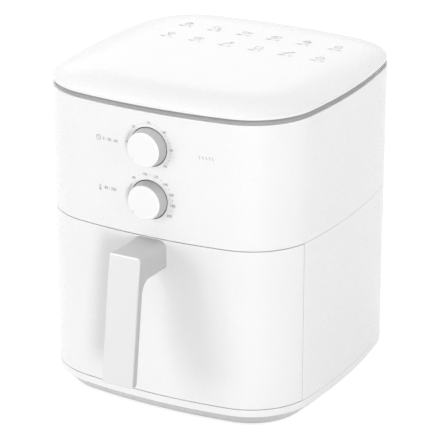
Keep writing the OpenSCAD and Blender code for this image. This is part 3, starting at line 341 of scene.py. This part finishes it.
def sheet_metal(name, colour, roughness, along, streak=0.10):
    """Rolled or turned metal with fine streaks along one axis."""
    mat, shader = bsdf_material(name, colour, roughness, metallic=1.0)
    tree = mat.node_tree
    streaks = grain(mat, STREAK_SCALE, stretch=along, detail=5)
    cloud = grain(mat, CLOUD_SCALE, detail=3)
    darker = tuple(c * 0.86 for c in colour)
    tree.links.new(tint(mat, remap(mat, cloud, 0, 1), darker, colour), shader.inputs["Base Color"])
    gloss = remap(mat, streaks, roughness - streak, roughness + streak)
    tree.links.new(gloss, shader.inputs["Roughness"])
    bump(mat, shader, [(streaks, 0.10, PORE_DEPTH)])
    return mat


def spangled(name, colour, roughness):
    """Galvanised sheet with its crystal spangle."""
    mat, shader = bsdf_material(name, colour, roughness, metallic=1.0)
    tree = mat.node_tree
    spangle = cells(mat, SPANGLE_SCALE)
    dark = tuple(c * 0.80 for c in colour)
    tree.links.new(tint(mat, spangle["Color"], dark, colour), shader.inputs["Base Color"])
    tree.links.new(remap(mat, spangle["Color"], roughness - 0.08, roughness + 0.12, 0, 1),
                   shader.inputs["Roughness"])
    bump(mat, shader, [(grain(mat, FROST_SCALE), 0.08, PORE_DEPTH)])
    return mat


def coated(name, colour):
    """Non-stick coating: satin, with fine pale fleck and an orange peel skin."""
    mat, shader = bsdf_material(name, colour, 0.42)
    tree = mat.node_tree
    fleck = cells(mat, FLECK_SCALE)
    flecks = remap(mat, fleck["Distance"], 1, 0, 0.05, 0.16)
    pale = tuple(min(1, 0.10 + 3 * c) for c in colour)
    tree.links.new(tint(mat, flecks, colour, pale), shader.inputs["Base Color"])
    peel = grain(mat, PEEL_SCALE)
    tree.links.new(remap(mat, peel, 0.36, 0.50), shader.inputs["Roughness"])
    bump(mat, shader, [(peel, 0.25, PEEL_DEPTH)])
    return mat


CAP_EDGE = 0.02 * MM


def capped(name, cap, skirt, edge_y):
    """A knob's two finishes: the face in front of edge_y, and the satin skirt behind it."""
    mat, shader = bsdf_material(name, cap, 0.30)
    behind = remap(mat, axes(mat)["Y"], 0, 1, edge_y - CAP_EDGE, edge_y + CAP_EDGE)
    return grained(mat, shader, tint(mat, behind, cap, skirt), 1600, 0.27, 0.36, 0.06)


CORNER_EDGE = (0.97, 1.03)
# Painted highlight: a paler band 0.9 to 1.8 mm below the top of the handle's face, standing for the
# shine on its rounded edge.
HIGHLIGHT_BELOW_TOP = (1.8 * MM, 0.9 * MM)
RIM_HIGHLIGHT_WHITE = (0.92, 0.92, 0.92)


def rounded_cover(name, white, body_grey, box, radius):
    """The handle's white face, with a painted highlight as a paler band along its top edge, and its top
    corners rounded into the grey.
    """
    mat, shader = bsdf_material(name, white, 0.40)
    tree = mat.node_tree
    place = axes(mat)
    across = tree.nodes.new("ShaderNodeMath")
    across.operation = "ABSOLUTE"
    tree.links.new(place["X"], across.inputs[0])
    high = box[1]
    corner = tree.nodes.new("ShaderNodeCombineXYZ")
    out_x = remap(mat, across.outputs[0], 0, 1, high.x - radius, high.x)
    out_z = remap(mat, place["Z"], 0, 1, high.z - radius, high.z)
    tree.links.new(out_x, corner.inputs["X"])
    tree.links.new(out_z, corner.inputs["Y"])
    reach = tree.nodes.new("ShaderNodeVectorMath")
    reach.operation = "LENGTH"
    tree.links.new(corner.outputs["Vector"], reach.inputs[0])
    outside = remap(mat, reach.outputs["Value"], 0, 1, *CORNER_EDGE)
    # Painted highlight along the top edge of the face.
    highlight_band = remap(mat, place["Z"], 0, 1, *(high.z - below for below in HIGHLIGHT_BELOW_TOP))
    face = tint(mat, highlight_band, white, RIM_HIGHLIGHT_WHITE)
    return grained(mat, shader, tint(mat, outside, face, body_grey), 2200, 0.36, 0.45, 0.10)


def banded(name, below, above, edge_z, soft=0.15 * MM):
    """Two tones, one below edge_z and one above it. Used to paint shade on the base's taper and on the
    trim ring.
    """
    mat, shader = bsdf_material(name, above, 0.30)
    high = remap(mat, axes(mat)["Z"], 0, 1, edge_z - soft, edge_z + soft)
    return grained(mat, shader, tint(mat, high, below, above), 1500, 0.24, 0.33, 0.06)


WHITE = grey(0.86)
# Painted shade: the base's downward-facing taper is coloured grey for the shade that falls under the
# body.
TAPER_SHADE_GREY = grey(0.60)
TAPER_H = 12.8 * MM
HANDLE_GREY = grey(0.49)
HANDLE_WHITE = grey(0.735)
HANDLE_CORNER = 3 * MM
CAP_WHITE = grey(0.87)
SKIRT_GREY = grey(0.45)
CAP_DEPTH = 1.0 * MM
# Painted light and shade on the trim ring in the groove under the lid: near black at the top, where the
# lid's overhang casts its shadow, and a lit grey lower down.
GROOVE_SHADOW = grey(0.09)
GROOVE_LIT = grey(0.46)
GROOVE_DEPTH = 2.0 * MM
GROOVE_SOFT = 2.6 * MM
materials = {
    "shell_white": moulded("shell_white", WHITE, 0.26, 1500, 0.05),
    "knob_white": capped("knob_white", CAP_WHITE, SKIRT_GREY, KNOB_FACE_Y + CAP_DEPTH),
    "handle_white": rounded_cover(
        "handle_white", HANDLE_WHITE, HANDLE_GREY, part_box("handle_grip"), HANDLE_CORNER),
    "handle_grey": moulded("handle_grey", HANDLE_GREY, 0.40, 2200, 0.10),
    "vent_white": moulded("vent_white", grey(0.80), 0.45, 1800, 0.12),
    "panel_grey": moulded("panel_grey", grey(0.50), 0.50, 1500, 0.15),
    "trim_grey": moulded("trim_grey", grey(0.30), 0.38, 1800, 0.10),
    "grey_plastic": moulded("grey_plastic", (0.45, 0.45, 0.43), 0.55, 1500, 0.15),
    "black_plastic": moulded("black_plastic", grey(0.03), 0.48, 1500, 0.20),
    "red_plastic": moulded("red_plastic", (0.45, 0.04, 0.03), 0.40, 1500, 0.10),
    "foot_rubber": moulded("foot_rubber", grey(0.05), 0.80, 1300, 0.35),
    "silicone": moulded("silicone", grey(0.05), 0.62, 1300, 0.15),
    "nonstick": coated("nonstick", (0.030, 0.030, 0.032)),
    "chamber_steel": spangled("chamber_steel", (0.66, 0.66, 0.65), 0.30),
    "dome_aluminium": sheet_metal("dome_aluminium", (0.80, 0.80, 0.79), 0.30, (1, 1, 0.1)),
    "sheet_steel": spangled("sheet_steel", (0.60, 0.60, 0.59), 0.36),
    "heater_steel": sheet_metal("heater_steel", (0.24, 0.22, 0.20), 0.45, (1, 1, 1)),
    "wire_chrome": sheet_metal("wire_chrome", grey(0.80), 0.16, (1, 1, 1), 0.05),
    "screw_steel": sheet_metal("screw_steel", (0.62, 0.62, 0.60), 0.30, (1, 1, 0.05)),
    "bell_steel": sheet_metal("bell_steel", grey(0.78), 0.14, (1, 1, 1), 0.05),
    "lamination": sheet_metal("lamination", (0.30, 0.30, 0.31), 0.50, (0.02, 0.02, 1)),
    "copper": sheet_metal("copper", (0.80, 0.42, 0.24), 0.30, (0.05, 1, 1)),
    "brass": sheet_metal("brass", (0.78, 0.60, 0.26), 0.26, (1, 0.05, 1)),
    "ink": moulded("ink", grey(0.15), 0.60, 2500, 0.05, drift=0.05),
}


FLAT_NODES = ("top_cover", "base", "handle_back", "handle_grip")
SMOOTH_ANGLE = math.radians(28)


def smooth(mesh):
    """Rounds the shading of a faceted mesh, where faces meet gently. The vertices stay as they are."""
    meets = {}
    for face in mesh.polygons:
        for loop in face.loop_indices:
            at = mesh.vertices[mesh.loops[loop].vertex_index].co
            meets.setdefault(tuple(round(c * 1e6) for c in at), []).append(face.index)
    normals = [None] * len(mesh.loops)
    limit = math.cos(SMOOTH_ANGLE)
    for face in mesh.polygons:
        for loop in face.loop_indices:
            at = mesh.vertices[mesh.loops[loop].vertex_index].co
            total = Vector()
            for other in meets[tuple(round(c * 1e6) for c in at)]:
                near = mesh.polygons[other]
                if near.normal.dot(face.normal) > limit:
                    total += near.normal * near.area ** 0.5
            normals[loop] = total.normalized()
    mesh.polygons.foreach_set("use_smooth", [True] * len(mesh.polygons))
    mesh.normals_split_custom_set(normals)


def dress_nodes():
    slots = {p["node"]: p["material_slot"] for p in frame["record"]["subparts"]}
    for name, obj in nodes.items():
        obj.data.materials.clear()
        obj.data.materials.append(materials[slots[name]])
    # The base is white above the taper's top and painted shade grey below it.
    taper_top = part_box("base")[0].z + TAPER_H
    nodes["base"].data.materials[0] = banded("base_painted_shade", TAPER_SHADE_GREY, WHITE, taper_top)
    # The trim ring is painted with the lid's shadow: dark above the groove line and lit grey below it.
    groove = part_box("top_cover")[0].z - GROOVE_DEPTH
    shaded = banded("trim_shaded", GROOVE_LIT, GROOVE_SHADOW, groove, GROOVE_SOFT)
    nodes["top_trim_ring"].data.materials[0] = shaded
    for name in FLAT_NODES:
        smooth(nodes[name].data)


# ------------------------------------------------------------------ printed marks


MITRE_MIN = 0.4
ARC_STEP = 9
FONT_SIZE = 1.38


class Print:
    """Flat artwork in millimetres, laid on a surface as a thin skin of ink."""

    def __init__(self):
        self.points = []
        self.faces = []

    def add(self, points, faces):
        start = len(self.points)
        self.points += points
        self.faces += [tuple(start + i for i in f) for f in faces]

    def line(self, path, width, closed=False):
        """A stroke with mitred corners along a path of (x, y)."""
        path = [Vector(p) for p in path]
        count = len(path)
        left, right = [], []
        for i, p in enumerate(path):
            before = path[i - 1] if closed or i > 0 else None
            after = path[(i + 1) % count] if closed or i < count - 1 else None
            a = (p - before).normalized() if before is not None else (after - p).normalized()
            b = (after - p).normalized() if after is not None else a
            mid = (a + b).normalized() if (a + b).length > 1e-6 else a
            side = Vector((-mid.y, mid.x))
            reach = width / 2 / max(MITRE_MIN, side.dot(Vector((-a.y, a.x))))
            left.append(tuple(p + side * reach))
            right.append(tuple(p - side * reach))
        last = count if closed else count - 1
        faces = [(i, count + i, count + (i + 1) % count, (i + 1) % count) for i in range(last)]
        self.add(left + right, faces)

    def arc(self, x, y, r, start, end, width, steps=None):
        """Part of a circle, in degrees, or the whole of it."""
        steps = steps or max(6, int(abs(end - start) / ARC_STEP))
        angles = [math.radians(start + (end - start) * i / steps) for i in range(steps + 1)]
        points = [(x + r * math.cos(a), y + r * math.sin(a)) for a in angles]
        whole = abs(end - start) >= 360
        self.line(points[:-1] if whole else points, width, closed=whole)

    def dot(self, x, y, r, steps=10):
        turns = [2 * math.pi * i / steps for i in range(steps)]
        self.add([(x + r * math.cos(a), y + r * math.sin(a)) for a in turns], [tuple(range(steps))])

    def number(self, value, x, y, height):
        """Plain digits, centred on (x, y)."""
        curve = bpy.data.curves.new("digits", "FONT")
        curve.body = str(value)
        curve.size = height * FONT_SIZE
        curve.align_x = "CENTER"
        curve.align_y = "CENTER"
        curve.resolution_u = 3
        obj = bpy.data.objects.new("digits", curve)
        scene.collection.objects.link(obj)
        bpy.context.view_layer.update()
        mesh = obj.evaluated_get(bpy.context.evaluated_depsgraph_get()).to_mesh()
        points = [(x + v.co.x, y + v.co.y) for v in mesh.vertices]
        self.add(points, [tuple(f.vertices) for f in mesh.polygons])
        bpy.data.objects.remove(obj)
        bpy.data.curves.remove(curve)

    def scale_and_raise(self, factor, rise):
        self.points = [(factor * x, factor * y + rise) for x, y in self.points]

    def lay(self, name, place, body, finish="ink"):
        """Makes the piece. place turns (x, y) in millimetres into a point in the frame."""
        mesh = bpy.data.meshes.new(name)
        mesh.from_pydata([place(x, y) for x, y in self.points], [], self.faces)
        mesh.materials.append(materials[finish])
        obj = bpy.data.objects.new(name, mesh)
        scene.collection.objects.link(obj)
        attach(obj, body)


INK = 0.05 * MM
RAY_START = 0.1
LINE = 0.36
THIN_LINE = 0.35
FINE_LINE = 0.3
DOT_R = 0.36


def skin_of(*names):
    """Ray test against the shown surfaces of CAD nodes or pieces."""
    whole = bmesh.new()
    for name in names:
        whole.from_mesh(bpy.data.objects[name].data)
    tree = BVHTree.FromBMesh(whole)
    whole.free()
    return tree


def on_front(tree, centre_z):
    """Millimetres right and up from the middle of the front panel at a height."""

    def place(x, y):
        start = Vector((x * MM, cad_lo.y - RAY_START, centre_z + y * MM))
        hit = tree.ray_cast(start, Vector((0, 1, 0)))[0]
        return hit + Vector((0, -INK, 0))

    return place


def on_lid(tree, centre_x, centre_y):
    """Millimetres right and back from a centre on the lid."""

    def place(x, y):
        start = Vector((centre_x + x * MM, centre_y + y * MM, cad_hi.z + RAY_START))
        hit = tree.ray_cast(start, Vector((0, 0, -1)))[0]
        return hit + Vector((0, 0, INK))

    return place


def polar(radius, degrees):
    a = math.radians(degrees)
    return radius * math.cos(a), radius * math.sin(a)


DIGIT_H = 2.6
TIMER_START = 220.5
TIMER_STEP = -43.8
TIMER_TENS = 6
TIMER_DIGIT_R = 22.9
TIMER_DOT_R = 22.3


def timer_scale(tree):
    """Minutes from 0 to 60, a number every ten and a dot every two."""
    ink = Print()
    for i in range(TIMER_TENS + 1):
        angle = TIMER_START + TIMER_STEP * i
        x, y = polar(TIMER_DIGIT_R, angle)
        ink.number(10 * i, x, y, DIGIT_H)
        if i < TIMER_TENS:
            for k in range(1, 5):
                x, y = polar(TIMER_DOT_R, angle + TIMER_STEP * k / 5)
                ink.dot(x, y, DOT_R)
    ink.lay("timer_scale", on_front(tree, TIMER_Z), "housing")


THERMO_ANGLES = (131, 100, 73, 46, 20, -5, -31)
THERMO_R = 24.0
COLD_ARC_R = 21.8
COLD_ARC = (146, 220)


def thermostat_scale(tree):
    """Degrees from 80 to 200 by twenty, a dot between, and a fine arc below the range."""
    ink = Print()
    for i, angle in enumerate(THERMO_ANGLES):
        x, y = polar(THERMO_R, angle)
        ink.number(80 + 20 * i, x, y, DIGIT_H)
        if i + 1 < len(THERMO_ANGLES):
            x, y = polar(THERMO_R, (angle + THERMO_ANGLES[i + 1]) / 2)
            ink.dot(x, y, DOT_R)
    ink.arc(0, 0, COLD_ARC_R, *COLD_ARC, FINE_LINE)
    ink.lay("thermostat_scale", on_front(tree, THERMO_Z), "housing")


def clock_icon(ink, x, y):
    ink.arc(x, y, 2.3, 0, 360, 0.4)
    ink.line([(x, y + 1.4), (x, y), (x + 1.0, y - 0.6)], THIN_LINE)


def thermometer_icon(ink, x, y):
    ink.arc(x, y - 1.5, 1.1, 120, 420, THIN_LINE)
    ink.line([(x - 0.55, y - 0.6), (x - 0.55, y + 2.0)], THIN_LINE)
    ink.line([(x + 0.55, y - 0.6), (x + 0.55, y + 2.0)], THIN_LINE)
    ink.arc(x, y + 2.0, 0.55, 0, 180, THIN_LINE)
    ink.dot(x, y - 1.5, 0.6)


LABEL_H = 2.8
CLOCK_AT = (-53.6, -0.3)
TIMER_LABEL_AT = (-40.8, -0.7)
THERMOMETER_AT = (-52.8, 1.8)
THERMO_LABEL_AT = (-41.4, 2.4)
WAVE_COUNT = 5
WAVE_X = 50.6
WAVE_PITCH = 3.2
WAVE_LOW = -3.2
WAVE_STEP = 0.36
WAVE_SWING = 0.6


def panel_icons(tree):
    """Generic icons beside the dials, each with its dial's plain range, and heat waves at the right."""
    ink = Print()
    clock_icon(ink, *CLOCK_AT)
    ink.number("0 - 30 - 60", *TIMER_LABEL_AT, LABEL_H)
    ink.lay("timer_icon", on_front(tree, TIMER_Z), "housing")
    ink = Print()
    thermometer_icon(ink, *THERMOMETER_AT)
    ink.number("80 - 200", *THERMO_LABEL_AT, LABEL_H)
    ink.lay("thermostat_icon", on_front(tree, THERMO_Z), "housing")
    ink = Print()
    for i in range(WAVE_COUNT):
        x = WAVE_X + WAVE_PITCH * i
        wave = [(x + WAVE_SWING * math.sin(2 * math.pi * t / 8), WAVE_LOW + WAVE_STEP * t)
                for t in range(9)]
        ink.line(wave, FINE_LINE)
    ink.lay("heat_icon", on_front(tree, TIMER_Z), "housing")


def ring_of(x, y, rx, ry, steps=20, wobble=0.0, waves=3, start=0.0):
    """A closed oval outline, with waves where wobble is above zero."""
    path = []
    for i in range(steps):
        a = start + 2 * math.pi * i / steps
        r = 1 + wobble * math.sin(waves * a)
        path.append((x + rx * r * math.cos(a), y + ry * r * math.sin(a)))
    return path


def fries(ink, x, y):
    box = [(x - 2.6, y + 0.4), (x - 1.9, y - 3.6), (x + 1.9, y - 3.6), (x + 2.6, y + 0.4)]
    ink.line(box, LINE, True)
    for i, top in enumerate((2.6, 3.6, 3.0, 3.8, 2.4)):
        ink.line([(x - 2.0 + i, y + 0.4), (x - 2.3 + 1.15 * i, y + top)], LINE)


def drumstick(ink, x, y):
    ink.line(ring_of(x - 0.9, y + 0.9, 2.9, 2.4, wobble=0.08, waves=1), LINE, True)
    ink.line([(x + 1.2, y - 0.9), (x + 3.2, y - 2.8)], LINE)
    ink.arc(x + 3.9, y - 2.9, 0.6, 0, 360, LINE)
    ink.arc(x + 3.1, y - 3.6, 0.6, 0, 360, LINE)


def fish(ink, x, y):
    upper = [(x - 4 + i, y + 2.0 * math.sin(math.pi * i / 6)) for i in range(7)]
    lower = [(x + 2 - i, y - 2.0 * math.sin(math.pi * i / 6)) for i in range(1, 6)]
    ink.line(upper + lower, LINE, True)
    ink.line([(x + 2, y), (x + 4.2, y + 1.8), (x + 3.6, y), (x + 4.2, y - 1.8)], LINE, True)
    ink.dot(x - 2.4, y + 0.5, 0.32)


def steak(ink, x, y):
    ink.line(ring_of(x, y, 3.7, 2.7, wobble=0.14, waves=2, start=0.4), LINE, True)
    ink.line(ring_of(x - 1.2, y + 0.5, 1.1, 0.8, 12), LINE, True)


def shrimp(ink, x, y):
    ink.arc(x, y, 3.2, -60, 200, LINE)
    ink.arc(x, y - 0.2, 1.6, -50, 190, LINE)
    for turn in (0, 40, 80, 120, 160):
        ink.line([(x + r * math.cos(math.radians(turn)), y + r * math.sin(math.radians(turn)))
                  for r in (1.7, 3.1)], LINE)
    ink.line([(x + 1.2, y - 2.8), (x - 0.4, y - 3.8), (x + 0.6, y - 1.8)], LINE)


def muffin(ink, x, y):
    cup = [(x - 2.4, y - 0.4), (x - 1.7, y - 3.5), (x + 1.7, y - 3.5), (x + 2.4, y - 0.4)]
    ink.line(cup, LINE, True)
    ink.arc(x - 1.6, y + 0.7, 1.4, 70, 240, LINE)
    ink.arc(x, y + 1.8, 1.7, 10, 170, LINE)
    ink.arc(x + 1.6, y + 0.7, 1.4, -60, 110, LINE)


def pizza(ink, x, y):
    ink.line([(x - 3.2, y + 2.2), (x, y - 3.8), (x + 3.2, y + 2.2)], LINE)
    ink.arc(x, y - 1.2, 4.7, 46, 134, LINE)
    for dx, dy in ((-1.0, 1.2), (1.0, 0.9), (0.1, -1.2)):
        ink.dot(x + dx, y + dy, 0.45)


def fried_egg(ink, x, y):
    ink.line(ring_of(x, y, 3.5, 3.0, wobble=0.12, waves=3), LINE, True)
    ink.arc(x + 0.3, y + 0.2, 1.2, 0, 360, LINE)


def carrot(ink, x, y):
    ink.line([(x - 3.8, y - 3.0), (x + 0.4, y + 2.2), (x + 2.0, y + 0.4)], LINE, True)
    ink.line([(x + 1.2, y + 1.3), (x + 1.6, y + 3.8)], LINE)
    ink.line([(x + 1.2, y + 1.3), (x + 3.8, y + 1.8)], LINE)
    ink.line([(x + 1.2, y + 1.3), (x + 3.3, y + 3.4)], LINE)


def toast(ink, x, y):
    side = [(x + 2.6, y + 0.6), (x + 2.6, y - 3.2), (x - 2.6, y - 3.2), (x - 2.6, y + 0.6)]
    top = [(x - 3.2, y + 2.0), (x - 1.8, y + 3.2), (x + 1.8, y + 3.2), (x + 3.2, y + 2.0)]
    ink.line(side + top, LINE, True)


def sausage(ink, x, y):
    ink.line([(x - 3.1, y - 3.0), (x + 3.3, y + 1.6), (x + 3.7, y + 2.7), (x + 2.5, y + 3.0),
              (x - 3.7, y - 1.5), (x - 4.1, y - 2.6)], LINE, True)
    for i in (-1.6, 0.2, 2.0):
        ink.line([(x + i - 0.6, y + 0.72 * i + 0.4), (x + i + 0.4, y + 0.72 * i - 0.6)], LINE)


def bowl(ink, x, y):
    ink.arc(x, y, 3.4, 180, 360, LINE)
    ink.line([(x - 3.9, y), (x + 3.9, y)], LINE)
    for i in (-1.5, 0, 1.5):
        ink.line([(x + i + 0.35 * math.sin(1.6 * t), y + 0.9 + 0.6 * t) for t in range(5)], LINE)


# Each picture with its degrees and minutes, the back row first.
MENU = (
    ((fries, 200, 15), (drumstick, 180, 20), (fish, 180, 12),
     (steak, 200, 10), (shrimp, 160, 8), (muffin, 160, 25)),
    ((pizza, 180, 6), (fried_egg, 160, 5), (carrot, 180, 15),
     (toast, 180, 4), (sausage, 200, 12), (bowl, 160, 10)),
)
MENU_X = (-73, -42, -10, 22, 54, 87)
MENU_Y = (66, 28.5)
MENU_SCALE = 1.25
MENU_RISE = 3.4
MENU_DIGIT_H = 3.0
MENU_TEXT_Y = -5.0
DEGREES_X = -4.6
MINUTES_X = 4.4
MENU_DOT_X = 0.2
MENU_DOT_R = 0.4


def lid_menu(tree):
    """Twelve plain food pictograms in two rows, each with its degrees and minutes in front."""
    for row, y in zip(MENU, MENU_Y):
        for (draw, degrees, minutes), x in zip(row, MENU_X):
            ink = Print()
            draw(ink, 0, 0)
            ink.scale_and_raise(MENU_SCALE, MENU_RISE)
            ink.number(degrees, DEGREES_X, MENU_TEXT_Y, MENU_DIGIT_H)
            ink.dot(MENU_DOT_X, MENU_TEXT_Y, MENU_DOT_R)
            ink.number(minutes, MINUTES_X, MENU_TEXT_Y, MENU_DIGIT_H)
            place = on_lid(tree, x * MM, BODY_MID_Y + y * MM)
            ink.lay("menu_" + draw.__name__, place, "housing")


# The size of the painted shadow ring in each knob's gap, in millimetres.
GAP_OUT = 0.1
GAP_WIDTH = 1.3
GAP_STEPS = 72


def dial_gaps(tree):
    """A painted shadow: a dark ring on the floor of the recess round each knob, where the gap between
    knob and panel lies in shade.
    """
    for name, height in (("timer_gap_ring", TIMER_Z), ("thermostat_gap_ring", THERMO_Z)):
        ring = Print()
        ring.arc(0, 0, KNOB_R + GAP_OUT, 0, 360, GAP_WIDTH, steps=GAP_STEPS)
        ring.lay(name, on_front(tree, height), "housing", "black_plastic")


def make_prints():
    front = skin_of("upper_housing")
    dial_gaps(front)
    timer_scale(front)
    thermostat_scale(front)
    panel_icons(front)
    lid_menu(skin_of("top_cover"))


# ------------------------------------------------------------------ build

make_camera()
make_world()
make_floor()
make_lights()
dress_nodes()
make_prints()
scene.view_settings.view_transform = "Standard"
